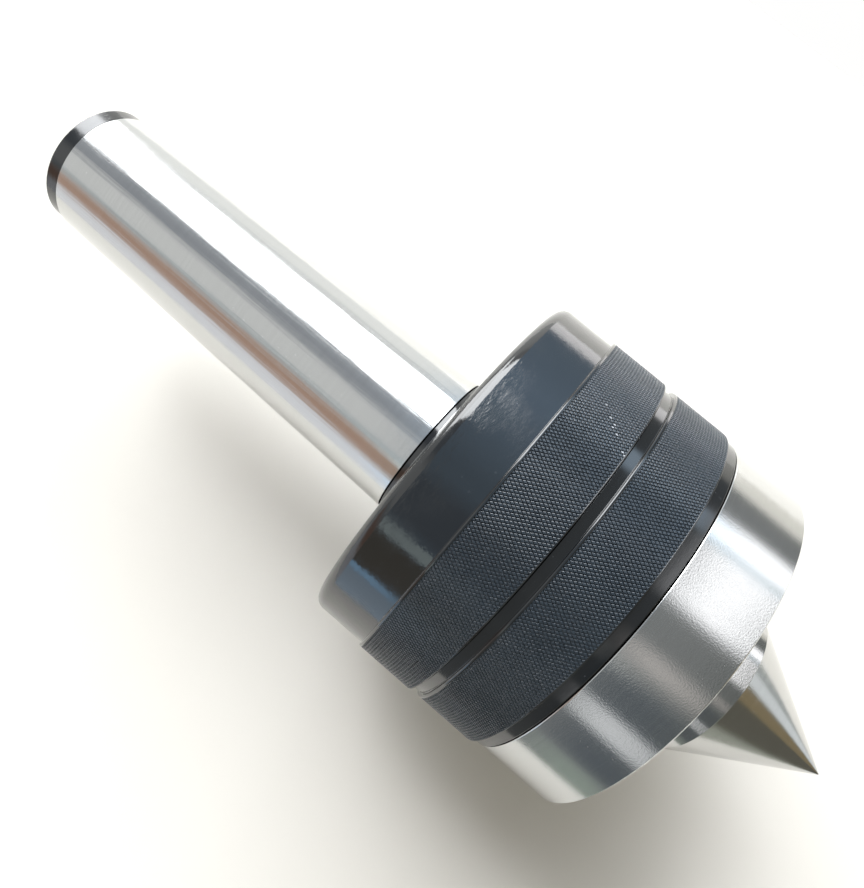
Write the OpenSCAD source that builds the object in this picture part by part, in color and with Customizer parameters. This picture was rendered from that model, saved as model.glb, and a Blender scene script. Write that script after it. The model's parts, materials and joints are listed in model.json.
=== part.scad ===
// Heavy-duty live centre on a Morse 5 shank without tang. Sizes in millimetres.
// The turning axis is X, the point faces +X and X = 0 is the gauge plane of the taper.

/* [View] */
// Sub-part to show, or all of them

/* [Shank] */
// Diameter of the taper at the gauge plane
gauge_diameter = 44.399;
// Length of the taper behind the gauge plane
shank_length = 129.5; // [118:0.5:135]
// Millimetres of length per millimetre of diameter
taper_ratio = 19.002;
// Length of the unground ring at the small end
end_ring_length = 4.5; // [3:0.5:8]
// Depth of the unground ring below the taper
end_ring_step = 0.35; // [0.2:0.05:0.6]
// Rounding of the small end
end_round = 0.7; // [0.5:0.1:2.5]
// Diameter of the centre hole's drill
centre_drill = 6.3; // [4:0.1:8]
// Mouth diameter of the centre hole
centre_mouth = 13.2; // [10:0.1:16]

/* [Body] */
// Diameter of the smooth rear body
rear_diameter = 106; // [105.6:0.1:106.6]
// Position of the rear face in front of the gauge plane
rear_face = 4.6; // [4.6:0.1:5.5]
// Depth of the neck below the taper
neck_step = 0.3; // [0.2:0.1:0.4]
// Fillet between neck and rear face
neck_fillet = 4.1; // [1:0.1:4.1]
// Rounding of the rear edge
rear_round = 3; // [1:0.1:4]
// Start of the rear knurled band
knurl_rear_start = 21.2; // [18:0.2:24]
// End of the rear knurled band
knurl_rear_end = 38.5;
// Root diameter of the rear knurled band
knurl_rear_diameter = 107.4; // [107:0.1:108]
// Rounding of the front corner of each knurled band
knurl_round = 0.8; // [0.3:0.1:1]
// Diameter of the thread between housing and cap nut
thread_diameter = 100;
// End of the threaded spigot
spigot_end = 56.5;

/* [Cap nut] */
// Gap between the housing's face and the cap nut
joint_gap = 0.3; // [0.1:0.1:0.5]
// Diameter of the smooth groove between the bands
groove_diameter = 105.4; // [104.4:0.1:105.6]
// Start of the front knurled band
knurl_front_start = 41.5;
// End of the front knurled band
knurl_front_end = 58.5;
// Root diameter of the front knurled band
knurl_front_diameter = 106.8; // [106:0.1:107.2]
// Diameter of the smooth ring in front of the knurl
ring_diameter = 105.2; // [104:0.1:105.6]
// Front face of the cap nut
nut_face = 61.7;
// Bore of the lip that clamps the front bearing
lip_bore = 66;
// Bore that holds the seal
seal_bore = 74;

/* [Rotating head] */
// Rear face of the head, past the running gap
head_rear = 62; // [61.9:0.05:62.2]
// Front face of the head
head_front = 82.4; // [76:0.1:88]
// Diameter of the head
head_diameter = 105; // [100:0.5:106]
// Chamfer of the front rim
rim_chamfer = 0.4; // [0.2:0.1:1]
// Diameter of the spindle under the seal
seal_seat = 62;
// Diameter of the front bearing seat
front_seat = 55;
// Diameter of the lock nut thread
nut_thread = 50;
// Diameter of the thrust washer seat
thrust_seat = 45;
// Diameter of the waist behind the thrust bearing
waist_diameter = 30;
// Diameter of the rear journal
journal_diameter = 20;

/* [Point] */
// Full angle of the cone
point_angle = 60; // [60:15:90]
// Diameter of the collar and of the cone's base
collar_diameter = 46; // [40:0.5:50]
// Length of the cylindrical collar
collar_length = 17.4; // [10:0.1:24]
// Diameter of the stem pressed into the head
stem_diameter = 32; // [26:0.5:34]
// Length of the stem
stem_length = 36; // [24:0.5:38]

/* [Front roller bearing] */
// Rear face of the bearing
front_rear = 39.5;
// Width of the bearing
front_width = 18;
// Outer diameter of the bearing
front_outer = 90;
// Diameter of the circle through the roller axes
front_pitch = 72;
// Roller diameter
front_roller = 9;
// Roller length
front_roller_length = 11;
// Number of rollers
front_count = 18; // [14:1:19]

/* [Thrust ball bearing] */
// Rear face of the bearing
thrust_rear = 12.5;
// Height of the bearing
thrust_height = 20;
// Outer diameter of the housing washer
thrust_outer = 74;
// Diameter of the circle through the ball centres
thrust_pitch = 59;
// Ball diameter
thrust_ball = 11.1;
// Number of balls
thrust_count = 14; // [11:1:14]
// Thickness of each washer
thrust_washer = 5.9;

/* [Needle bearing] */
// Rear face of the bearing
needle_rear = -22;
// Width of the bearing
needle_width = 20;
// Outer diameter of the bearing
needle_outer = 32;
// Outer diameter of the inner ring
needle_race = 24;
// Needle diameter
needle_diameter = 2.5;
// Needle length
needle_length = 16;
// Number of needles
needle_count = 24; // [18:1:26]

/* [Hidden] */
$fn = 120;
// Radial play of the rolling elements
play = 0.02;
gauge_r = gauge_diameter / 2;
end_x = -shank_length;
ring_x = end_x + end_ring_length;
end_taper_r = gauge_r - shank_length / taper_ratio / 2;
ring_taper_r = gauge_r - (shank_length - end_ring_length) / taper_ratio / 2;
end_r = end_taper_r - end_ring_step;
neck_r = gauge_r - neck_step;
rear_r = rear_diameter / 2;
knurl_rear_r = knurl_rear_diameter / 2;
knurl_front_r = knurl_front_diameter / 2;
groove_r = groove_diameter / 2;
thread_r = thread_diameter / 2;
ring_r = ring_diameter / 2;
head_r = head_diameter / 2;
front_face = front_rear + front_width;
thrust_front = thrust_rear + thrust_height;
thrust_mid = thrust_rear + thrust_height / 2;
needle_front = needle_rear + needle_width;
cone_base = head_front + collar_length;
cone_length = collar_diameter / 2 / tan(point_angle / 2);
front_middle = front_rear + front_width / 2;
needle_middle = needle_rear + needle_width / 2;
front_pitch_r = front_pitch / 2;
front_roller_r = front_roller / 2 - play;
thrust_pitch_r = thrust_pitch / 2;
thrust_ball_r = thrust_ball / 2;
groove_ball_r = thrust_ball_r + 0.2;
needle_r = needle_diameter / 2 - 0.01;
needle_pitch_r = needle_race / 2 + needle_diameter / 2;
needle_outer_race = needle_race / 2 + needle_diameter;
// O-ring groove and section
o_ring_x = 42.2;
o_ring_section = 0.95;
o_ring_floor = thread_r - 1.95;
waist_end = 14;
journal_step = -2;
journal_end = -26;
clip_x = -23.6;
clip_width = 1.3;
clip_floor = 9.3;
bore_waist = 32;
bore_thrust = 40;
bore_waist_end = 8;
bore_drill = 26;
bore_bottom = -30;
stem_end = head_front - stem_length;
socket_floor = stem_end - 2;

// Turns a profile of [radius, x] points about the X axis.
module turned() {
  rotate([0, 90, 0]) rotate_extrude() children();
}

// Places count copies around the X axis.
module around(count) {
  for (i = [0 : count - 1]) rotate([i * 360 / count, 0, 0]) children();
}

// Plain ring between two radii and two stations.
module ring(inner, outer, from, to) {
  turned() translate([inner, from]) square([outer - inner, to - from]);
}

module housing_outline() {
  difference() {
    polygon([[0, end_x], [end_r - end_round, end_x], [end_r - end_round, end_x + end_round],
      [end_r, end_x + end_round], [end_r, ring_x], [ring_taper_r, ring_x + 0.3],
      [gauge_r, 0], [neck_r, neck_step], [neck_r, rear_face - neck_fillet],
      [neck_r + neck_fillet, rear_face - neck_fillet],
      [neck_r + neck_fillet, rear_face], [rear_r - rear_round, rear_face],
      [rear_r - rear_round, rear_face + rear_round], [rear_r, rear_face + rear_round],
      [rear_r, knurl_rear_start], [knurl_rear_r, knurl_rear_start],
      [knurl_rear_r, knurl_rear_end - knurl_round],
      [knurl_rear_r - knurl_round, knurl_rear_end - knurl_round],
      [knurl_rear_r - knurl_round, knurl_rear_end], [thread_r - 0.1, knurl_rear_end],
      [thread_r - 0.1, o_ring_x - 1.2], [o_ring_floor, o_ring_x - 1.2],
      [o_ring_floor, o_ring_x + 1.2], [thread_r, o_ring_x + 1.2],
      [thread_r, spigot_end - 0.8], [thread_r - 0.8, spigot_end], [0, spigot_end]]);
    translate([neck_r + neck_fillet, rear_face - neck_fillet]) circle(neck_fillet);
  }
  translate([end_r - end_round, end_x + end_round]) circle(end_round);
  translate([rear_r - rear_round, rear_face + rear_round]) circle(rear_round);
  translate([knurl_rear_r - knurl_round, knurl_rear_end - knurl_round]) circle(knurl_round);
}

module housing_bore() {
  polygon([[0, bore_bottom - bore_drill / 2 * tan(31)], [bore_drill / 2, bore_bottom],
    [bore_drill / 2, needle_rear], [needle_outer / 2, needle_rear],
    [bore_waist / 2, bore_waist_end], [bore_thrust / 2, bore_waist_end],
    [bore_thrust / 2, thrust_rear], [thrust_outer / 2, thrust_rear],
    [thrust_outer / 2, front_rear], [front_outer / 2, front_rear],
    [front_outer / 2, spigot_end - 0.6], [front_outer / 2 + 0.6, spigot_end],
    [front_outer / 2 + 0.6, spigot_end + 1], [0, spigot_end + 1]]);
}

module centre_hole() {
  polygon([[0, end_x - 1], [centre_mouth / 2, end_x - 1], [centre_mouth / 2, end_x],
    [centre_drill / 2, end_x + (centre_mouth - centre_drill) / 2 / tan(30)],
    [centre_drill / 2, end_x + 12], [0, end_x + 14]]);
}

// One forging: shank, neck, rear body, rear knurled band and threaded spigot.
module housing() {
  color([0.16, 0.17, 0.19]) turned() difference() {
    intersection() {
      housing_outline();
      translate([0, end_x]) square([rear_r + 5, shank_length + spigot_end]);
    }
    housing_bore();
    centre_hole();
  }
}

// Knurled nut that closes the housing and clamps the front bearing.
module cap_nut() {
  color([0.13, 0.14, 0.16]) turned() {
    polygon([[thread_r, knurl_rear_end + joint_gap], [groove_r, knurl_rear_end + joint_gap],
      [groove_r, knurl_front_start], [knurl_front_r, knurl_front_start],
      [knurl_front_r, knurl_front_end - knurl_round],
      [knurl_front_r - knurl_round, knurl_front_end - knurl_round],
      [knurl_front_r - knurl_round, knurl_front_end], [ring_r, knurl_front_end],
      [ring_r, nut_face - 0.3], [ring_r - 0.3, nut_face], [seal_bore / 2, nut_face],
      [seal_bore / 2, nut_face - 3.2], [lip_bore / 2, nut_face - 3.2],
      [lip_bore / 2, front_face], [thread_r - 2.5, front_face],
      [thread_r - 2.5, front_face + 0.8], [thread_r, front_face + 0.8]]);
    translate([knurl_front_r - knurl_round, knurl_front_end - knurl_round])
      circle(knurl_round);
  }
}

// Lipped rubber seal that rubs on the spindle.
module front_seal() {
  color([0.1, 0.1, 0.1]) turned() polygon([[seal_seat / 2 + 0.03, nut_face - 1.2],
    [seal_seat / 2 + 1.2, nut_face - 3.1], [seal_bore / 2, nut_face - 3.2],
    [seal_bore / 2, nut_face - 0.3], [seal_bore / 2 - 1.6, nut_face - 0.3],
    [seal_bore / 2 - 2, nut_face - 1.9], [seal_seat / 2 + 1.6, nut_face - 1.7],
    [seal_seat / 2 + 0.4, nut_face - 0.6], [seal_seat / 2 + 0.03, nut_face - 0.8]]);
}

// Rubber ring that seals the joint between housing and cap nut.
module o_ring() {
  color([0.08, 0.08, 0.08]) turned()
    translate([o_ring_floor + 0.03 + o_ring_section, o_ring_x]) circle(o_ring_section);
}

// Rotating head with its shaft, turned from one piece.
module spindle() {
  color([0.75, 0.76, 0.78]) turned() difference() {
    polygon([[0, journal_end], [journal_diameter / 2 - 1, journal_end],
      [journal_diameter / 2, journal_end + 1], [journal_diameter / 2, clip_x - 0.05],
      [clip_floor, clip_x - 0.05], [clip_floor, clip_x + clip_width + 0.05],
      [journal_diameter / 2, clip_x + clip_width + 0.05],
      [journal_diameter / 2, journal_step], [waist_diameter / 2 - 1, journal_step],
      [waist_diameter / 2, journal_step + 1], [waist_diameter / 2, waist_end],
      [thrust_seat / 2 - 0.6, waist_end + 0.6],
      [thrust_seat / 2 - 0.6, thrust_front - thrust_washer - 0.6],
      [thrust_seat / 2, thrust_front - thrust_washer], [thrust_seat / 2, thrust_front],
      [nut_thread / 2, thrust_front], [nut_thread / 2, front_rear + 0.5],
      [front_seat / 2, front_rear + 0.5], [front_seat / 2, front_face],
      [seal_seat / 2, front_face], [seal_seat / 2, head_rear], [head_r - 0.3, head_rear],
      [head_r, head_rear + 0.3], [head_r, head_front - rim_chamfer],
      [head_r - rim_chamfer, head_front], [0, head_front]]);
    polygon([[0, socket_floor - stem_diameter / 2 * tan(31)],
      [stem_diameter / 2, socket_floor], [stem_diameter / 2, head_front + 1],
      [0, head_front + 1]]);
  }
}

// Hardened point with its collar and the stem pressed into the head.
module point() {
  color([0.78, 0.79, 0.8]) turned() polygon([[0, stem_end],
    [stem_diameter / 2 - 1, stem_end], [stem_diameter / 2, stem_end + 1],
    [stem_diameter / 2, head_front], [collar_diameter / 2 - 0.3, head_front],
    [collar_diameter / 2, head_front + 0.3], [collar_diameter / 2, cone_base],
    [0, cone_base + cone_length]]);
}

module front_outer_ring() {
  color([0.7, 0.71, 0.74]) turned() difference() {
    translate([front_pitch_r + 2.7, front_rear])
      square([front_outer / 2 - front_pitch_r - 2.7, front_width]);
    translate([0, front_middle - front_roller_length / 2 - 0.1])
      square([front_pitch_r + front_roller / 2, front_roller_length + 0.2]);
  }
}

module front_inner_ring() {
  race = front_pitch_r - front_roller / 2;
  color([0.7, 0.71, 0.74]) turned() polygon([[front_seat / 2, front_rear],
    [race + 1.8, front_rear], [race + 1.8, front_middle - front_roller_length / 2 - 0.1],
    [race, front_middle - front_roller_length / 2 - 0.1], [race, front_face],
    [front_seat / 2, front_face]]);
}

module front_rollers() {
  color([0.8, 0.8, 0.82]) around(front_count)
    translate([front_middle - front_roller_length / 2, 0, front_pitch_r])
      rotate([0, 90, 0]) cylinder(r = front_roller_r, h = front_roller_length);
}

module front_roller_cage() {
  color([0.72, 0.57, 0.25]) difference() {
    ring(front_pitch_r - 1.7, front_pitch_r + 1.7, front_rear + 1.2, front_face - 1.2);
    around(front_count)
      translate([front_middle - front_roller_length / 2 - 0.15, 0, front_pitch_r])
        rotate([0, 90, 0]) cylinder(r = front_roller_r + 0.15, h = front_roller_length + 0.3);
  }
}

// Washer with one tab bent into a slot of the lock nut.
module lock_washer() {
  color([0.55, 0.56, 0.58]) {
    ring(nut_thread / 2 + 0.05, nut_thread / 2 + 8, front_rear - 1, front_rear);
    translate([front_rear - 4, -2.4, nut_thread / 2 + 8]) cube([4, 4.8, 1]);
    translate([front_rear - 1, -2.4, nut_thread / 2 + 7]) cube([1, 4.8, 1.5]);
  }
}

// Slotted nut that holds the front inner ring on the spindle.
module lock_nut() {
  color([0.45, 0.46, 0.48]) difference() {
    ring(nut_thread / 2, nut_thread / 2 + 10, thrust_front, front_rear - 1);
    around(4) translate([thrust_front - 1, -3, nut_thread / 2 + 7.5])
      cube([front_rear - thrust_front + 1, 6, 4]);
  }
}

module thrust_shaft_washer() {
  color([0.7, 0.71, 0.74]) turned() difference() {
    translate([thrust_seat / 2, thrust_front - thrust_washer])
      square([thrust_outer / 2 - 0.5 - thrust_seat / 2, thrust_washer]);
    translate([thrust_pitch_r, thrust_mid + thrust_ball_r + play - groove_ball_r])
      circle(groove_ball_r);
  }
}

module thrust_balls() {
  color([0.82, 0.82, 0.84]) around(thrust_count)
    translate([thrust_mid, 0, thrust_pitch_r]) sphere(thrust_ball_r);
}

module thrust_ball_cage() {
  color([0.72, 0.57, 0.25]) difference() {
    ring(thrust_pitch_r - 6.7, thrust_pitch_r + 6.7, thrust_mid - 1.8, thrust_mid + 1.8);
    around(thrust_count) translate([thrust_mid - 3, 0, thrust_pitch_r])
      rotate([0, 90, 0]) cylinder(r = thrust_ball_r + 0.15, h = 6);
  }
}

module thrust_housing_washer() {
  color([0.7, 0.71, 0.74]) turned() difference() {
    translate([thrust_seat / 2 + 1, thrust_rear])
      square([thrust_outer / 2 - thrust_seat / 2 - 1, thrust_washer]);
    translate([thrust_pitch_r, thrust_mid - thrust_ball_r - play + groove_ball_r])
      circle(groove_ball_r);
  }
}

module needle_outer_ring() {
  color([0.7, 0.71, 0.74]) turned() difference() {
    translate([needle_outer_race - 0.8, needle_rear])
      square([needle_outer / 2 - needle_outer_race + 0.8, needle_width]);
    translate([0, needle_middle - needle_length / 2 - 0.1])
      square([needle_outer_race, needle_length + 0.2]);
  }
}

module needle_inner_ring() {
  color([0.7, 0.71, 0.74])
    ring(journal_diameter / 2, needle_race / 2, needle_rear, needle_front);
}

module needle_rollers() {
  color([0.8, 0.8, 0.82]) around(needle_count)
    translate([needle_middle - needle_length / 2, 0, needle_pitch_r])
      rotate([0, 90, 0]) cylinder(r = needle_r, h = needle_length, $fn = 60);
}

module needle_cage() {
  color([0.72, 0.57, 0.25]) difference() {
    ring(needle_pitch_r - 0.7, needle_pitch_r + 0.3, needle_rear + 0.8, needle_front - 0.8);
    around(needle_count)
      translate([needle_middle - needle_length / 2 - 0.1, 0, needle_pitch_r])
        rotate([0, 90, 0]) cylinder(r = needle_r + 0.08, h = needle_length + 0.2, $fn = 60);
  }
}

// Open spring ring that keeps the needle inner ring on the journal.
module journal_clip() {
  color([0.4, 0.41, 0.43]) difference() {
    ring(clip_floor + 0.05, needle_race / 2 - 0.4, clip_x, clip_x + clip_width);
    translate([clip_x - 1, -2, 0]) cube([clip_width + 2, 4, needle_race]);
  }
}

housing();
cap_nut();
front_seal();
o_ring();
spindle();
point();
front_outer_ring();
front_inner_ring();
front_rollers();
front_roller_cage();
lock_washer();
lock_nut();
thrust_shaft_washer();
thrust_balls();
thrust_ball_cage();
thrust_housing_washer();
needle_outer_ring();
needle_inner_ring();
needle_rollers();
needle_cage();
journal_clip();
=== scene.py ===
"""Looks of the heavy-duty live centre: turned skins, knurl teeth, steel finishes, light and camera.

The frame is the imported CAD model: metres, turning axis along X, point towards +X, Z up.
Outlines are lists of (x, radius, edge rounding) in millimetres, turned about X.
"""

import json
import math
import random

import bpy
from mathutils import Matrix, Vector


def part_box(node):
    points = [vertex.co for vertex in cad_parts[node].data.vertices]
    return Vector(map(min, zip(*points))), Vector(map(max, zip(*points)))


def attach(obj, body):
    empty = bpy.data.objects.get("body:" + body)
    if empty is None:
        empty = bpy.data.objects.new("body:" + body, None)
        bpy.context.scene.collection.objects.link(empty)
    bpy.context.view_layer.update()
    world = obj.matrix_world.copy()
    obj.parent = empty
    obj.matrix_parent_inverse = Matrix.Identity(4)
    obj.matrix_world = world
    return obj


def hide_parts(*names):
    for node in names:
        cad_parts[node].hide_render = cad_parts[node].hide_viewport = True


MM = 0.001
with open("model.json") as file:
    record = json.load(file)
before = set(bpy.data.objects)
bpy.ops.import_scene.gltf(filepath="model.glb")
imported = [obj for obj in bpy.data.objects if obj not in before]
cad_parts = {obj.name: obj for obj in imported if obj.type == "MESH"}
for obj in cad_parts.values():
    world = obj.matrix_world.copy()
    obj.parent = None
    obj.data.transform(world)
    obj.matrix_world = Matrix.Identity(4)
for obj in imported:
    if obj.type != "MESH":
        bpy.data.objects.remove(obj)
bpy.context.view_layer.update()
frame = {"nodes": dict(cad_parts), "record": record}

# ---------------------------------------------------------------- stations and radii, millimetres
# Those that are a side of a node's box come from the frame.
SHANK_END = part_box("housing")[0][0] / MM
SPIGOT_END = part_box("housing")[1][0] / MM
HEAD_REAR = 62.0
HEAD_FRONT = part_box("spindle")[1][0] / MM
HEAD_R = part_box("spindle")[1][1] / MM
JOURNAL_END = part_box("spindle")[0][0] / MM
POINT_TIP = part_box("point")[1][0] / MM
POINT_STEM_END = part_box("point")[0][0] / MM
COLLAR_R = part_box("point")[1][1] / MM
NUT_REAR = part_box("cap_nut")[0][0] / MM
NUT_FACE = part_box("cap_nut")[1][0] / MM

# The Morse 5 taper: radius at the gauge plane (station 0) and its growth for each millimetre.
GAUGE_R = 22.2
TAPER = 1 / 19.002 / 2
END_RING_END = SHANK_END + 4.5
END_RING_R = 18.44
END_ROUND = 0.7
NECK_START = 0.3
NECK_R = 21.9
NECK_FILLET = 4.1
REAR_FACE = 4.6
REAR_R = 53.0
REAR_ROUND = 3.0
GROOVE_R = 52.7
RING_R = 52.6
THREAD_R = 50.0
STEM_R = 16.0
SEAM_BORE_R = 16.0
# The centre hole in the shank's end: its tip, the ends of its straight part, and its radii.
CENTRE_TIP, CENTRE_FRONT, CENTRE_REAR = -115.5, -117.5, -123.52
CENTRE_DRILL_R = 3.15
CENTRE_MOUTH_R = 6.6
# Inside, as in CAD: where the needle, thrust and roller bearings start and end.
NEEDLE_REAR, NEEDLE_FRONT = -22, -2
THRUST_REAR, THRUST_FRONT = 12.5, 32.5
ROLLER_REAR, ROLLER_FRONT = 39.5, 57.5
# Bores in the housing and the cap nut, and the chamfer at their mouth.
DRILL_R = 13
DRILL_END, DRILL_TIP = -30, -37.81
STEP_BORE_R = 20
STEP_BORE_REAR = 8
THRUST_BORE_R = 37
ROLLER_BORE_R = 45
SEAL_BORE_R = 37
LIP_BORE_R = 33
LIP_DEPTH = 3.2
BORE_CHAMFER = 0.6
# The O-ring's groove in the spigot, and the thread's relief in the cap nut.
O_RING_REAR, O_RING_FRONT = 41, 43.4
O_RING_DEPTH = 1.95
SPIGOT_CHAMFER = 0.8
RELIEF_DEPTH = 2.5
RELIEF_END = 58.3
# The spindle's journal, clip groove, waist and seats.
JOURNAL_R = 10
CLIP_REAR, CLIP_FRONT = -23.65, -22.25
CLIP_FLOOR_R = 9.3
WAIST_R = 15
WAIST_END = 14
THRUST_SEAT_R = 22.5
THRUST_SEAT_REAR = 26.6
SEAT_CHAMFER = 0.6
NUT_THREAD_R = 25
NUT_THREAD_END = 40
ROLLER_SEAT_R = 27.5
SEAL_SEAT_R = 31
HEAD_CHAMFER = 0.4
SOCKET_END = 44.4
SOCKET_TIP = 34.79
# Each knurled band: start, end and radius at the root of its teeth.
KNURL_REAR = (21.2, 38.5, 53.75)
KNURL_FRONT = (41.5, 58.5, 53.45)
CONE_BASE = POINT_TIP - COLLAR_R * math.sqrt(3)
TIP_BLUNT = 0.25

# How many sides a turned piece has, and how many steps its rounded edges have.
SEGMENTS = 400
ARC_STEPS = 5
# A radius below this is a point on the axis.
ON_AXIS = 1e-6

# ---------------------------------------------------------------- knurl teeth, millimetres
# A tooth: its length along X and around it, its height, and the part of the height that is bevel.
TOOTH_AXIAL = 0.8
TOOTH_AROUND = 0.908
TOOTH_HEIGHT = 0.22
BEVEL_HEIGHT = 0.03
# Thickness of a band below the root of its teeth.
BAND_DEPTH = 0.6
# A row of worn teeth: its ends as station and degrees about X, its width, its share of bright ones.
WORN_FROM = (28.0, 58.0)
WORN_TO = (38.0, 67.0)
WORN_WIDTH = 0.5
WORN_SHARE = 0.65
# Sizes of the crest and of the shoulder below it, as parts of the tooth's own size.
CREST = 0.5
SHOULDER = 0.7
# How much the teeth differ in height and in size.
HEIGHT_SPREAD = (0.92, 1.0)
SIZE_SPREAD = (0.9, 1.1)
# Smooth strip left at each band's start and end, and the seat of the teeth below their root.
LAND = 0.8
END_LAND = 0.4
SEAT_DEPTH = 0.4


# ---------------------------------------------------------------- turned meshes
def taper_radius(x):
    """Radius of the Morse taper at a station."""
    return GAUGE_R + x * TAPER


def rounded(corners):
    """Outline points with every corner that has a rounding replaced by an arc."""
    points = []
    for i, (x, r, rounding) in enumerate(corners):
        corner = Vector((x, r))
        if not rounding:
            points.append(corner)
            continue
        neighbours = corners[i - 1], corners[(i + 1) % len(corners)]
        before, after = (Vector(neighbour[:2]) - corner for neighbour in neighbours)
        half = before.angle(after) / 2
        # A neighbour that is rounded too leaves only half of the edge between.
        room_before, room_after = (0.49 if neighbour[2] else 0.99 for neighbour in neighbours)
        reach = min(rounding / math.tan(half),
                    room_before * before.length, room_after * after.length)
        radius = reach * math.tan(half)
        bisector = (before.normalized() + after.normalized()).normalized()
        centre = corner + bisector * radius / math.sin(half)
        start = corner + before.normalized() * reach - centre
        turn = start.angle_signed(corner + after.normalized() * reach - centre)
        for k in range(ARC_STEPS + 1):
            angle = -turn * k / ARC_STEPS
            spoke = Vector((start.x * math.cos(angle) - start.y * math.sin(angle),
                            start.x * math.sin(angle) + start.y * math.cos(angle)))
            points.append(centre + spoke)
    return points


def mesh_object(name, vertices, faces, material_of_face, materials, smooth=True):
    """A mesh in metres from vertices in millimetres, with a material index for each face."""
    mesh = bpy.data.meshes.new(name)
    mesh.from_pydata([Vector(v) * MM for v in vertices], [], faces)
    for material in materials:
        mesh.materials.append(material)
    mesh.polygons.foreach_set("material_index", material_of_face)
    mesh.polygons.foreach_set("use_smooth", [smooth] * len(faces))
    mesh.update()
    piece = bpy.data.objects.new(name, mesh)
    bpy.context.collection.objects.link(piece)
    return piece


def turned(name, corners, materials, material_at=lambda x, r: 0):
    """A closed outline turned about X. Outlines run so that the solid lies on their right."""
    outline = rounded(corners)
    vertices = []
    rings = []
    for x, r in outline:
        if r < ON_AXIS:
            rings.append([len(vertices)] * SEGMENTS)
            vertices.append((x, 0, 0))
            continue
        rings.append(list(range(len(vertices), len(vertices) + SEGMENTS)))
        for k in range(SEGMENTS):
            angle = 2 * math.pi * k / SEGMENTS
            vertices.append((x, r * math.cos(angle), r * math.sin(angle)))
    faces = []
    material_of_face = []
    for i in range(len(outline)):
        j = (i + 1) % len(outline)
        if max(outline[i][1], outline[j][1]) < ON_AXIS:
            continue
        index = material_at((outline[i][0] + outline[j][0]) / 2,
                            (outline[i][1] + outline[j][1]) / 2)
        for k in range(SEGMENTS):
            n = (k + 1) % SEGMENTS
            corners_of_face = [rings[i][k], rings[i][n], rings[j][n], rings[j][k]]
            faces.append(list(dict.fromkeys(corners_of_face)))
            material_of_face.append(index)
    piece = mesh_object(name, vertices, faces, material_of_face, materials)
    weighted = piece.modifiers.new("face_weighted_normals", "WEIGHTED_NORMAL")
    weighted.weight = 100
    return piece


def is_worn(x, angle, root):
    """Whether a tooth stands on the worn row."""
    (x0, turn0), (x1, turn1) = WORN_FROM, WORN_TO
    row = Vector((x1 - x0, math.radians(turn1 - turn0) * root))
    place = Vector((x - x0, (angle - math.radians(turn0)) * root))
    along = place.dot(row) / row.length
    return 0 < along < row.length and abs(place.cross(row)) / row.length < WORN_WIDTH


def knurl(name, start, end, root, materials, seed):
    """A band of diamond teeth: flat crest, bevel and flanks, closed by end walls and an inner ring.

    The materials are those of the teeth, of the worn teeth and of the flanks.
    """
    dice = random.Random(seed)
    rows = round((end - start) / TOOTH_AXIAL)
    step = (end - start) / rows
    count = round(2 * math.pi * root / TOOTH_AROUND)
    pitch = 2 * math.pi / count
    inner = root - BAND_DEPTH
    vertices = []
    faces = []
    finishes = []

    def vertex(x, angle, r):
        vertices.append((x, r * math.cos(angle), r * math.sin(angle)))
        return len(vertices) - 1

    def face(corners, finish=0):
        faces.append(corners)
        finishes.append(finish)

    def ring(k, r):
        """Points halfway between the tooth centres of column k."""
        shift = 0.5 if k % 2 == 0 else 0.0
        return [vertex(start + k * step, (j + shift) * pitch, r) for j in range(count)]

    valley = [ring(k, root) for k in range(rows + 1)]
    rims = {k: ring(k, inner) for k in (0, rows)}
    for k in range(rows + 1):
        odd = k % 2
        x = start + k * step
        # A tooth's corners in turn: below, behind, above and ahead; the rims cut teeth in half.
        if k == 0:
            corners = ((0, 1), (1, 0), (0, -1))
        elif k == rows:
            corners = ((0, -1), (-1, 0), (0, 1))
        else:
            corners = ((0, -1), (-1, 0), (0, 1), (1, 0))
        for j in range(count):
            angle = (j + 0.5 * odd) * pitch
            low = (j - 1 + odd) % count
            high = (j + odd) % count
            ends = {(0, -1): (k, low), (0, 1): (k, high), (-1, 0): (k - 1, j), (1, 0): (k + 1, j)}
            crest = root + TOOTH_HEIGHT * dice.uniform(*HEIGHT_SPREAD)
            size = dice.uniform(*SIZE_SPREAD)
            loops = [[valley[ends[c][0]][ends[c][1]] for c in corners]]
            for part, r in ((SHOULDER * size, crest - BEVEL_HEIGHT), (CREST * size, crest)):
                loops.append([vertex(x + c[0] * part * step, angle + c[1] * part * pitch / 2, r)
                              for c in corners])
            bright = is_worn(x, angle, root) and dice.random() < WORN_SHARE
            face(loops[2], 1 if bright else 0)
            pairs = list(zip(range(len(corners)), list(range(1, len(corners))) + [0]))
            if k in (0, rows):
                pairs.pop()
                side = [rims[k][low], rims[k][high]]
                rise = [loop[0] for loop in loops] + [loop[-1] for loop in reversed(loops)]
                face(side + rise if k == 0 else side[::-1] + rise)
            for outer, within, finish in zip(loops, loops[1:], (2, 0)):
                for a, b in pairs:
                    face([outer[a], outer[b], within[b], within[a]], finish)
    # The inner ring joins the two rims.
    for j in range(count):
        n = (j + 1) % count
        face([rims[0][j], rims[rows][j], rims[rows][n], rims[0][n]])
    return mesh_object(name, vertices, faces, finishes, materials, smooth=False)


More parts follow.
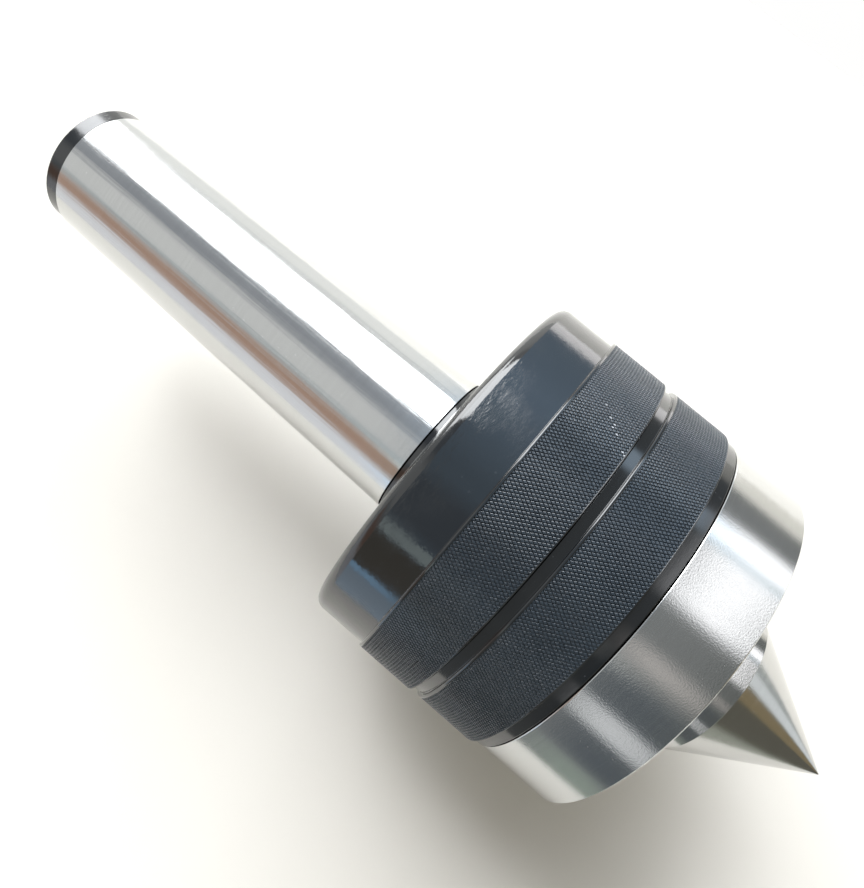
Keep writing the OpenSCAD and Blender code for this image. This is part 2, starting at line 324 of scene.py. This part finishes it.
# ---------------------------------------------------------------- shader nodes
# Places are in metres here, so a noise of scale 1000 has features of about 1 mm.
class Shader:
    """Short calls for building one node tree."""

    def __init__(self, tree):
        self.tree = tree
        tree.nodes.clear()

    def node(self, kind, inputs=None, **settings):
        """Adds a node, sets its properties, and links or sets its inputs."""
        made = self.tree.nodes.new(kind)
        for key, value in settings.items():
            setattr(made, key, value)
        for key, value in (inputs or {}).items():
            if isinstance(value, bpy.types.NodeSocket):
                self.tree.links.new(value, made.inputs[key])
            else:
                made.inputs[key].default_value = value
        return made

    def math(self, operation, *values):
        return self.node("ShaderNodeMath", dict(enumerate(values)), operation=operation).outputs[0]

    def noise(self, vector, scale, detail=2.0, roughness=0.5):
        inputs = {"Vector": vector, "Scale": scale, "Detail": detail, "Roughness": roughness}
        return self.node("ShaderNodeTexNoise", inputs).outputs["Fac"]

    def spread(self, value, low, high, to_low, to_high):
        """Maps a value from one range to another, clamped."""
        inputs = {"Value": value, "From Min": low, "From Max": high,
                  "To Min": to_low, "To Max": to_high}
        return self.node("ShaderNodeMapRange", inputs).outputs["Result"]

    def mix(self, factor, first, second):
        """Mixes two colours: socket 0 is the factor, 6 and 7 are the colours."""
        inputs = {0: factor, 6: first, 7: second}
        return self.node("ShaderNodeMix", inputs, data_type="RGBA").outputs[2]

    def vector(self, x, y, z):
        return self.node("ShaderNodeCombineXYZ", {0: x, 1: y, 2: z}).outputs[0]


def colour(r, g, b):
    return (r, g, b, 1.0)


def turned_coordinates(shader):
    """The place and its X, Y and Z in metres, its station and distance from X in millimetres."""
    place = shader.node("ShaderNodeTexCoord").outputs["Object"]
    split = shader.node("ShaderNodeSeparateXYZ", {0: place}).outputs
    station = shader.math("MULTIPLY", split[0], 1000.0)
    square = shader.math("ADD", shader.math("MULTIPLY", split[1], split[1]),
                         shader.math("MULTIPLY", split[2], split[2]))
    distance = shader.math("MULTIPLY", shader.math("SQRT", square), 1000.0)
    return place, split, station, distance


def lines_around(shader, split, station, distance, width, length):
    """Noise drawn out around X: fine lines of a width and a rough length in millimetres."""
    across = shader.math("MULTIPLY", station, 1 / width)
    outward = shader.math("MULTIPLY", distance, 1 / width)
    stretch = 1000.0 / length
    side = shader.math("MULTIPLY", split[1], stretch)
    up = shader.math("MULTIPLY", split[2], stretch)
    # Station and distance are joined so that flat faces get rings and round faces get hoops.
    joined = shader.math("ADD", across, outward)
    return shader.noise(shader.vector(joined, side, up), 1.0, 3.0, 0.6)


def heights(shader, *parts):
    """Sum of height patterns, each given with its weight."""
    total = 0.0
    for pattern, weight in parts:
        total = shader.math("ADD", total, shader.math("MULTIPLY", pattern, weight))
    return total


def finish_material(material, shader, base, roughness, height, depth, metallic=1.0, anisotropic=0.0,
                    specular=0.5, ior=1.5):
    """Principled surface with a bump, depth in metres; anisotropic draws highlights out along X."""
    inputs = {"Height": height, "Distance": depth, "Strength": 1.0}
    bump = shader.node("ShaderNodeBump", inputs).outputs["Normal"]
    surface = shader.node("ShaderNodeBsdfPrincipled", {
        "Base Color": base, "Metallic": metallic, "Roughness": roughness, "Normal": bump,
        "Anisotropic": anisotropic, "Specular IOR Level": specular, "IOR": ior})
    if anisotropic:
        tangent = shader.node("ShaderNodeTangent", direction_type="RADIAL", axis="X")
        shader.tree.links.new(tangent.outputs[0], surface.inputs["Tangent"])
        surface.inputs["Anisotropic Rotation"].default_value = 0.25
    output = shader.node("ShaderNodeOutputMaterial")
    shader.tree.links.new(surface.outputs[0], output.inputs[0])
    return material


def new_material(name):
    material = bpy.data.materials.new(name)
    material.use_nodes = True
    return material, Shader(material.node_tree)


def ground_steel(name, tint, rough, line_width, speckle, streaks, scuffs):
    """Bright ground steel: fine lines around the axis, a speckled grain, dust and handling marks.

    speckle and streaks are the heights of the grain and of the soft marks, some drawn out along X,
    against 0.6 for the lines. scuffs is how bright the handling marks are.
    """
    material, shader = new_material(name)
    place, split, station, distance = turned_coordinates(shader)
    lines = lines_around(shader, split, station, distance, width=line_width, length=14.0)
    grain = shader.noise(place, 2700.0, 2.0, 0.5)
    cloud = shader.noise(place, 45.0, 3.0, 0.6)
    dust = shader.noise(place, 1700.0, 1.0, 0.5)
    scratch = lines_around(shader, split, station, distance, width=7.0, length=0.35)
    scratched = shader.math("MULTIPLY", shader.spread(scratch, 0.6, 0.68, 0.0, 1.0), cloud)
    marks = shader.spread(scratched, 0.25, 0.55, 0.0, scuffs)
    specks = shader.math("MULTIPLY", shader.spread(dust, 0.76, 0.79, 0.0, 0.6),
                         shader.spread(cloud, 0.48, 0.6, 0.0, 1.0))
    marks = shader.math("MAXIMUM", marks, specks)
    lighter = colour(*(min(1.0, 1.02 * c) for c in tint))
    darker = colour(*(0.97 * c for c in tint))
    base = shader.mix(shader.spread(lines, 0.3, 0.7, 0.0, 1.0), darker, lighter)
    base = shader.mix(marks, base, colour(0.85, 0.86, 0.88))
    roughness = shader.math("ADD", shader.spread(lines, 0.25, 0.75, rough - 0.015, rough + 0.02),
                            shader.spread(cloud, 0.3, 0.7, -0.01, 0.02))
    roughness = shader.math("ADD", roughness, shader.math("MULTIPLY", marks, 0.35))
    streak = shader.noise(shader.vector(shader.math("MULTIPLY", split[0], 14.0),
                                        shader.math("MULTIPLY", split[1], 700.0),
                                        shader.math("MULTIPLY", split[2], 700.0)), 1.0, 2.0, 0.6)
    smoke = shader.noise(place, 130.0, 3.0, 0.6)
    height = heights(shader, (lines, 0.6), (grain, speckle), (streak, streaks), (smoke, streaks))
    return finish_material(material, shader, base, roughness, height, depth=0.0000011,
                           anisotropic=0.4)


def black_oxide(name, tint, rough, ripple, wear, ior, smears=0.03):
    """Glossy blue-black oxide over turned steel: small ripples, fine turning marks, pale specks.

    ripple is the height of the ripples, wear how strong the specks are, smears how dull the clouds.
    """
    material, shader = new_material(name)
    place, split, station, distance = turned_coordinates(shader)
    lines = lines_around(shader, split, station, distance, width=0.5, length=30.0)
    waves = lines_around(shader, split, station, distance, width=1.6, length=3.2)
    cloud = shader.noise(place, 60.0, 4.0, 0.65)
    speck = shader.noise(place, 900.0, 2.0, 0.5)
    specks = shader.math("MULTIPLY", shader.spread(speck, 0.7, 0.76, 0.0, wear),
                         shader.spread(cloud, 0.45, 0.65, 0.0, 1.0))
    lighter = colour(*(1.5 * c for c in tint))
    base = shader.mix(shader.spread(cloud, 0.3, 0.7, 0.0, 1.0), colour(*tint), lighter)
    base = shader.mix(specks, base, colour(0.25, 0.27, 0.3))
    roughness = shader.math("ADD", shader.spread(lines, 0.3, 0.7, rough - 0.01, rough + 0.02),
                            shader.spread(cloud, 0.42, 0.7, 0.0, smears))
    height = heights(shader, (waves, ripple), (lines, 0.03))
    return finish_material(material, shader, base, roughness, height, depth=0.00003, metallic=0.0,
                           ior=ior)


def turned_metal(name, tint, rough):
    """Plain turned or rolled metal of the pieces inside."""
    material, shader = new_material(name)
    place, split, station, distance = turned_coordinates(shader)
    lines = lines_around(shader, split, station, distance, width=0.3, length=20.0)
    cloud = shader.noise(place, 120.0, 3.0, 0.6)
    darker = colour(*(0.82 * c for c in tint))
    base = shader.mix(shader.spread(cloud, 0.35, 0.65, 0.0, 1.0), darker, colour(*tint))
    roughness = shader.spread(lines, 0.3, 0.7, rough - 0.05, rough + 0.08)
    return finish_material(material, shader, base, roughness, lines, depth=0.000002)


def rubber(name):
    """Matt black rubber with a fine moulded grain."""
    material, shader = new_material(name)
    place = shader.node("ShaderNodeTexCoord").outputs["Object"]
    grain = shader.noise(place, 1500.0, 3.0, 0.6)
    cloud = shader.noise(place, 90.0, 2.0, 0.5)
    base = shader.mix(cloud, colour(0.012, 0.012, 0.012), colour(0.03, 0.03, 0.031))
    roughness = shader.spread(grain, 0.3, 0.7, 0.55, 0.75)
    return finish_material(material, shader, base, roughness, grain, depth=0.00002, metallic=0.0)


# ---------------------------------------------------------------- materials
shank_steel = ground_steel(
    "shank_ground_steel", tint=(0.63, 0.635, 0.63), rough=0.17, line_width=0.35, speckle=6.0,
    streaks=45.0, scuffs=0.12)
head_steel = ground_steel(
    "head_ground_steel", tint=(0.62, 0.625, 0.62), rough=0.15, line_width=0.3, speckle=14.0,
    streaks=6.0, scuffs=0.1)
point_steel = ground_steel(
    "point_ground_steel", tint=(0.58, 0.58, 0.57), rough=0.14, line_width=0.3, speckle=12.0,
    streaks=6.0, scuffs=0.1)
body_black = black_oxide(
    "body_black_oxide", tint=(0.003, 0.004, 0.005), rough=0.06, ripple=1.4, wear=0.2, ior=1.8,
    smears=0.14)
nut_black = black_oxide(
    "nut_black_oxide", tint=(0.003, 0.004, 0.005), rough=0.1, ripple=0.15, wear=0.2, ior=1.8)
knurl_black = black_oxide(
    "knurl_black_oxide", tint=(0.009, 0.017, 0.026), rough=0.28, ripple=0.3, wear=0.4, ior=1.85)
valley_black = black_oxide(
    "valley_black_oxide", tint=(0.012, 0.018, 0.025), rough=0.5, ripple=0.3, wear=0.2, ior=1.6)
worn_steel = turned_metal("worn_steel", tint=(0.5, 0.51, 0.53), rough=0.45)
INSIDE = {
    "bearing_steel": turned_metal("bearing_steel", tint=(0.58, 0.59, 0.61), rough=0.18),
    "cage_brass": turned_metal("cage_brass", tint=(0.62, 0.45, 0.16), rough=0.3),
    "nut_steel": turned_metal("nut_steel", tint=(0.35, 0.36, 0.38), rough=0.32),
    "seal_rubber": rubber("seal_rubber"),
}

# ---------------------------------------------------------------- turned pieces
TAPER_END = (END_RING_END + 0.3, taper_radius(END_RING_END))


def shank():
    """Ground taper with its dark unground end ring and centre hole."""
    centre_hole = [
        (CENTRE_TIP, 0, 0), (CENTRE_FRONT, CENTRE_DRILL_R, 0), (CENTRE_REAR, CENTRE_DRILL_R, 0.2),
        (SHANK_END, CENTRE_MOUTH_R, 0.2)]
    outside = [
        (SHANK_END, END_RING_R, END_ROUND), (END_RING_END, END_RING_R, 0.08), (*TAPER_END, 0.1),
        (0, GAUGE_R, 0.15), (NECK_START, NECK_R, 0)]
    bearing_bore = [
        (NECK_START, SEAM_BORE_R, 0), (NEEDLE_REAR, SEAM_BORE_R, 0), (NEEDLE_REAR, DRILL_R, 0),
        (DRILL_END, DRILL_R, 0), (DRILL_TIP, 0, 0)]

    def finish(x, r):
        ground = END_RING_END + 0.15 < x < 0.05 and r > SEAM_BORE_R + 0.5
        return 0 if ground else 1

    piece = turned("shank", centre_hole + outside + bearing_bore, [shank_steel, body_black], finish)
    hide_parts("housing")
    return piece


def knurl_seat(band, rounding):
    """Outline of a knurled band: a smooth land at each side and the seat of the teeth between."""
    start, end, root = band
    crest = root + TOOTH_HEIGHT
    return [
        (start, crest, rounding), (start + LAND, crest, 0.1), (start + LAND, root - SEAT_DEPTH, 0),
        (end - END_LAND, root - SEAT_DEPTH, 0), (end - END_LAND, crest - 0.1, 0.15),
        (end, crest - 0.1, 0.3)]


def rear_body():
    """Neck, rear body, rear knurl land, groove and threaded spigot."""
    neck_and_body = [
        (NECK_START, SEAM_BORE_R, 0), (NECK_START, NECK_R, 0), (REAR_FACE, NECK_R, NECK_FILLET),
        (REAR_FACE, REAR_R, REAR_ROUND), (KNURL_REAR[0], REAR_R, 0.1)]
    spigot = [
        (KNURL_REAR[1], THREAD_R - 0.1, 0), (O_RING_REAR, THREAD_R - 0.1, 0),
        (O_RING_REAR, THREAD_R - O_RING_DEPTH, 0), (O_RING_FRONT, THREAD_R - O_RING_DEPTH, 0),
        (O_RING_FRONT, THREAD_R, 0), (SPIGOT_END - SPIGOT_CHAMFER, THREAD_R, 0),
        (SPIGOT_END, THREAD_R - SPIGOT_CHAMFER, 0)]
    bores = [
        (SPIGOT_END, ROLLER_BORE_R + BORE_CHAMFER, 0),
        (SPIGOT_END - BORE_CHAMFER, ROLLER_BORE_R, 0), (ROLLER_REAR, ROLLER_BORE_R, 0),
        (ROLLER_REAR, THRUST_BORE_R, 0), (THRUST_REAR, THRUST_BORE_R, 0),
        (THRUST_REAR, STEP_BORE_R, 0), (STEP_BORE_REAR, STEP_BORE_R, 0),
        (STEP_BORE_REAR, SEAM_BORE_R, 0)]
    corners = neck_and_body + knurl_seat(KNURL_REAR, 0.5) + spigot + bores
    piece = turned("rear_body", corners, [body_black])
    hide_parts("housing")
    return piece


def front_nut():
    """Cap nut: knurl lands, smooth ring and the lip over the bearing."""
    groove = [
        (NUT_REAR, THREAD_R, 0), (NUT_REAR, GROOVE_R, 0.08), (KNURL_FRONT[0], GROOVE_R, 0.1)]
    ring = [(KNURL_FRONT[1], RING_R, 0.1), (NUT_FACE, RING_R, 0.3)]
    bores = [
        (NUT_FACE, SEAL_BORE_R, 0.2), (NUT_FACE - LIP_DEPTH, SEAL_BORE_R, 0),
        (NUT_FACE - LIP_DEPTH, LIP_BORE_R, 0.3), (ROLLER_FRONT, LIP_BORE_R, 0.3),
        (ROLLER_FRONT, THREAD_R - RELIEF_DEPTH, 0), (RELIEF_END, THREAD_R - RELIEF_DEPTH, 0),
        (RELIEF_END, THREAD_R, 0)]
    corners = groove + knurl_seat(KNURL_FRONT, 0.35) + ring + bores
    piece = turned("front_nut", corners, [nut_black])
    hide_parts("cap_nut")
    return piece


def head():
    """Rotating head with its stepped shaft and the socket for the point."""
    journal = [
        (JOURNAL_END, 0, 0), (JOURNAL_END, JOURNAL_R, 1.0), (CLIP_REAR, JOURNAL_R, 0),
        (CLIP_REAR, CLIP_FLOOR_R, 0), (CLIP_FRONT, CLIP_FLOOR_R, 0), (CLIP_FRONT, JOURNAL_R, 0),
        (NEEDLE_FRONT, JOURNAL_R, 0)]
    waist = [
        (NEEDLE_FRONT, WAIST_R, 0.8), (WAIST_END, WAIST_R, 0),
        (WAIST_END + SEAT_CHAMFER, THRUST_SEAT_R - SEAT_CHAMFER, 0),
        (THRUST_SEAT_REAR - SEAT_CHAMFER, THRUST_SEAT_R - SEAT_CHAMFER, 0)]
    seats = [
        (THRUST_SEAT_REAR, THRUST_SEAT_R, 0), (THRUST_FRONT, THRUST_SEAT_R, 0),
        (THRUST_FRONT, NUT_THREAD_R, 0.4), (NUT_THREAD_END, NUT_THREAD_R, 0),
        (NUT_THREAD_END, ROLLER_SEAT_R, 0.3), (ROLLER_FRONT, ROLLER_SEAT_R, 0),
        (ROLLER_FRONT, SEAL_SEAT_R, 0.3), (HEAD_REAR, SEAL_SEAT_R, 0)]
    cylinder = [
        (HEAD_REAR, HEAD_R, 0.3), (HEAD_FRONT - HEAD_CHAMFER, HEAD_R, 0.06),
        (HEAD_FRONT, HEAD_R - HEAD_CHAMFER, 0.06)]
    socket = [(HEAD_FRONT, STEM_R, 0.2), (SOCKET_END, STEM_R, 0), (SOCKET_TIP, 0, 0)]
    piece = turned("head", journal + waist + seats + cylinder + socket, [head_steel])
    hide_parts("spindle")
    return piece


def cone_point():
    """Hardened point: stem, collar and 60 degree cone."""
    corners = [
        (POINT_STEM_END, 0, 0), (POINT_STEM_END, STEM_R, 1.0), (HEAD_FRONT, STEM_R, 0),
        (HEAD_FRONT, COLLAR_R, 0.3), (CONE_BASE, COLLAR_R, 0.25),
        (POINT_TIP - TIP_BLUNT, TIP_BLUNT / math.sqrt(3), 0.1), (POINT_TIP - TIP_BLUNT, 0, 0)]
    piece = turned("cone_point", corners, [point_steel])
    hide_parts("point")
    return piece


for build in (shank, rear_body, front_nut):
    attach(build(), "housing_set")
for build in (head, cone_point):
    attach(build(), "spindle_set")
tooth_materials = [knurl_black, worn_steel, valley_black]
for name, band, seed in (("rear_knurl", KNURL_REAR, 3), ("front_knurl", KNURL_FRONT, 7)):
    start, end, root = band
    teeth = knurl(name, start + LAND, end - END_LAND, root, tooth_materials, seed)
    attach(teeth, "housing_set")

slot_of_node = {part["node"]: part["material_slot"] for part in frame["record"]["subparts"]}
for name, node in frame["nodes"].items():
    if node.hide_render:
        continue
    for material_slot in node.material_slots:
        material_slot.material = INSIDE[slot_of_node[name]]


# ---------------------------------------------------------------- floor, light and camera
FLOOR_Z = -54.1
FLOOR_X = (-600, 308)
FLOOR_Y = (-260, 220)

# The room that the polished metal reflects: a base and strips that run along X, later ones on top.
# Each has its turn about X in degrees (0 is +Y, 90 is up), its reach along X (-1 is behind the
# shank, 1 ahead of the point), the softness of its long edges in degrees, and its radiance.
ROOM_BASE = (0.5, 0.49, 0.46)
ROOM = {
    "pale room behind": ((-90, 270), (-1.0, -0.13), 1, (0.78, 0.79, 0.78)),
    "white wall behind": ((-90, 9), (-1.0, -0.13), 6, (1.15, 1.16, 1.13)),
    "white sheet behind": ((172, 200), (-0.8, -0.13), 8, (0.92, 0.93, 0.97)),
    "low window": ((2, 68), (-0.96, -0.66), 3, (7.0, 7.1, 7.2)),
    "window frame": ((70, 101), (-0.8, -0.13), 14, (0.33, 0.35, 0.38)),
    "cool edge": ((137, 147), (-0.8, -0.13), 7, (0.5, 0.56, 0.58)),
    "warm board": ((147, 170), (-0.8, -0.13), 12, (0.5, 0.33, 0.25)),
    "window": ((22, 69), (-0.7, -0.13), 4, (8.0, 8.2, 8.4)),
    "dim blue middle": ((-90, 270), (-0.13, 0.08), 1, (0.42, 0.54, 0.66)),
    "blue sky": ((7, 67), (-0.13, 0.08), 50, (0.8, 1.08, 1.4)),
    "dark wall": ((106, 139), (-0.13, 0.08), 12, (0.3, 0.34, 0.39)),
    "curtain": ((140, 148), (-0.13, 0.08), 1.5, (1.15, 1.35, 1.35)),
    "brown door": ((149, 176), (-0.13, 0.08), 2, (0.31, 0.28, 0.23)),
    "blue doorway": ((176, 181), (-0.13, 0.08), 2, (0.95, 1.55, 2.2)),
    "blue wall": ((181, 204), (-0.13, 0.08), 2, (0.9, 1.12, 1.35)),
    "dark front": ((-90, 270), (0.08, 0.6), 1, (0.26, 0.27, 0.27)),
    "window edge": ((19, 33), (0.08, 0.27), 4, (1.6, 2.0, 2.4)),
    "pale edge": ((112, 123), (0.2, 0.27), 3, (0.8, 0.82, 0.8)),
    "far window": ((14, 74), (0.28, 0.41), 8, (2.1, 2.1, 2.15)),
    "window bar": ((29, 35), (0.28, 0.41), 4, (1.1, 1.25, 1.35)),
    "grey panel": ((101, 112), (0.28, 0.41), 7, (0.72, 0.68, 0.65)),
    "dark panel": ((119, 181), (0.28, 0.41), 6, (0.11, 0.13, 0.15)),
    "far door": ((142, 157), (0.28, 0.41), 2, (0.98, 1.0, 1.02)),
    "green wall": ((184, 204), (0.28, 0.41), 4, (0.34, 0.4, 0.35)),
    "dark end": ((-90, 270), (0.42, 0.6), 1, (0.1, 0.11, 0.1)),
    "window slit": ((15, 27), (0.42, 0.6), 1.5, (2.2, 2.2, 2.3)),
    "pale ground": ((204, 240), (-0.13, 1.0), 4, (0.95, 0.95, 0.92)),
    "bright ground": ((-60, -14), (-0.13, 0.22), 3, (3.0, 2.95, 2.95)),
    "pale ground ahead": ((-60, -9), (0.22, 1.0), 4, (1.0, 0.98, 0.9)),
}
# The light that falls on the card and on rough surfaces: the same window, and a warm dim fill.
FILL = (0.27, 0.255, 0.215)
WINDOW_LIGHT = 27.0
WINDOW_LIGHT_TURN = (18, 64)
WINDOW_LIGHT_REACH = (-0.95, -0.48)
# What lies ahead of the point, by degrees towards +Y instead.
AHEAD_REACH = (0.68, 1.1)
AHEAD = {
    "dark ahead": ((-90, 90), 1, (0.14, 0.135, 0.11)),
    "grey side": ((-90, -19), 3, (0.4, 0.42, 0.36)),
    "brown board": ((3.5, 14), 1, (0.29, 0.235, 0.14)),
    "white sheet": ((15, 24), 2, (0.9, 0.95, 0.97)),
    "grey sheet": ((24, 28), 1.5, (0.48, 0.52, 0.52)),
    "bright side": ((28.5, 90), 1.5, (1.2, 1.2, 1.15)),
}
REACH_SOFT = 0.02

# The lamp beside the card: place and size in metres, tilt in degrees, power in watts.
SIDE_LIGHT_PLACE = (-0.08, 0.42, 0.2)
SIDE_LIGHT_SIZE = 0.3
SIDE_LIGHT_TILT = -40
SIDE_LIGHT_POWER = 1.2
# The viewpoint: place in metres, angles in degrees, focal length in millimetres.
CAMERA_PLACE = (0.01932, -0.01539, 0.19346)
CAMERA_TILT = 6.12
CAMERA_TURN = 40.373
FOCAL_LENGTH = 27.57
LENS_SHIFT = (-0.0157, 0.0154)


def strip(shader, value, reach, soft):
    """1 where a value lies within a reach, falling to 0 over its softness."""
    low, high = reach
    off = shader.math("ABSOLUTE", shader.math("SUBTRACT", value, (low + high) / 2))
    half = (high - low) / 2
    return shader.spread(off, half - soft / 2, half + soft / 2, 1.0, 0.0)


def degrees_of(shader, up, across):
    """Angle in degrees of a direction, from the across part towards the up part."""
    return shader.math("MULTIPLY", shader.math("ARCTAN2", up, across), 180 / math.pi)


def room():
    """World light: the room about the object, and a plain white one for the camera itself."""
    world = bpy.data.worlds.new("room")
    bpy.context.scene.world = world
    world.use_nodes = True
    shader = Shader(world.node_tree)
    direction = shader.node("ShaderNodeTexCoord").outputs["Generated"]
    along, side, up = shader.node("ShaderNodeSeparateXYZ", {0: direction}).outputs
    # The turn runs from -90 to 270 degrees, so that its seam lies straight below.
    turn = shader.math("SUBTRACT", 90.0, degrees_of(shader, side, up))
    light = colour(*ROOM_BASE)
    for reach, span, soft, radiance in ROOM.values():
        share = shader.math("MULTIPLY", strip(shader, turn, reach, soft),
                            strip(shader, along, span, REACH_SOFT))
        light = shader.mix(share, light, colour(*radiance))
    sideways = degrees_of(shader, side, along)
    front = strip(shader, along, AHEAD_REACH, 0.1)
    for reach, soft, radiance in AHEAD.values():
        share = shader.math("MULTIPLY", strip(shader, sideways, reach, soft), front)
        light = shader.mix(share, light, colour(*radiance))
    window = shader.math("MULTIPLY", strip(shader, turn, WINDOW_LIGHT_TURN, 4),
                         strip(shader, along, WINDOW_LIGHT_REACH, REACH_SOFT))
    soft_light = shader.mix(window, colour(*FILL), colour(*[WINDOW_LIGHT] * 3))
    rays = shader.node("ShaderNodeLightPath").outputs
    light = shader.mix(rays["Is Diffuse Ray"], light, soft_light)
    seen = shader.node("ShaderNodeBackground", {"Color": colour(1.0, 1.0, 0.995), "Strength": 1.0})
    lit = shader.node("ShaderNodeBackground", {"Color": light, "Strength": 1.0})
    both = shader.node("ShaderNodeMixShader", {0: rays["Is Camera Ray"], 1: lit.outputs[0],
                                               2: seen.outputs[0]})
    output = shader.node("ShaderNodeOutputWorld")
    shader.tree.links.new(both.outputs[0], output.inputs[0])


def floor():
    """Pale, slightly warm card that the object lies on."""
    (x0, x1), (y0, y1) = FLOOR_X, FLOOR_Y
    corners = [(x0, y0, FLOOR_Z), (x1, y0, FLOOR_Z), (x1, y1, FLOOR_Z), (x0, y1, FLOOR_Z)]
    material, shader = new_material("pale_card")
    place = shader.node("ShaderNodeTexCoord").outputs["Object"]
    fibre = shader.noise(place, 300.0, 4.0, 0.6)
    cloud = shader.noise(place, 6.0, 2.0, 0.5)
    base = shader.mix(cloud, colour(0.86, 0.845, 0.805), colour(0.88, 0.865, 0.83))
    finish_material(material, shader, base, shader.spread(fibre, 0.3, 0.7, 0.5, 0.6), fibre,
                    depth=0.00002, metallic=0.0, specular=0.2)
    mesh_object("floor", corners, [[0, 1, 2, 3]], [0], [material])


def side_light():
    """Soft light from +Y that brightens the card there. It isn't mirrored in the metal."""
    lamp = bpy.data.lights.new("side_light", "AREA")
    lamp.shape = "RECTANGLE"
    lamp.size = lamp.size_y = SIDE_LIGHT_SIZE
    lamp.energy = SIDE_LIGHT_POWER
    light = bpy.data.objects.new("side_light", lamp)
    bpy.context.collection.objects.link(light)
    light.location = SIDE_LIGHT_PLACE
    light.rotation_euler = (math.radians(SIDE_LIGHT_TILT), 0.0, 0.0)
    light.visible_glossy = False
    light.visible_camera = False


def camera():
    """The viewpoint: close above the object, turned about Z, tilted a little."""
    lens = bpy.data.cameras.new("camera")
    lens.lens = FOCAL_LENGTH
    lens.shift_x, lens.shift_y = LENS_SHIFT
    lens.clip_start = 0.01
    view = bpy.data.objects.new("camera", lens)
    bpy.context.collection.objects.link(view)
    view.location = CAMERA_PLACE
    view.rotation_euler = (math.radians(CAMERA_TILT), 0.0, math.radians(CAMERA_TURN))
    bpy.context.scene.camera = view


room()
floor()
side_light()
camera()
bpy.context.scene.view_settings.view_transform = "Standard"
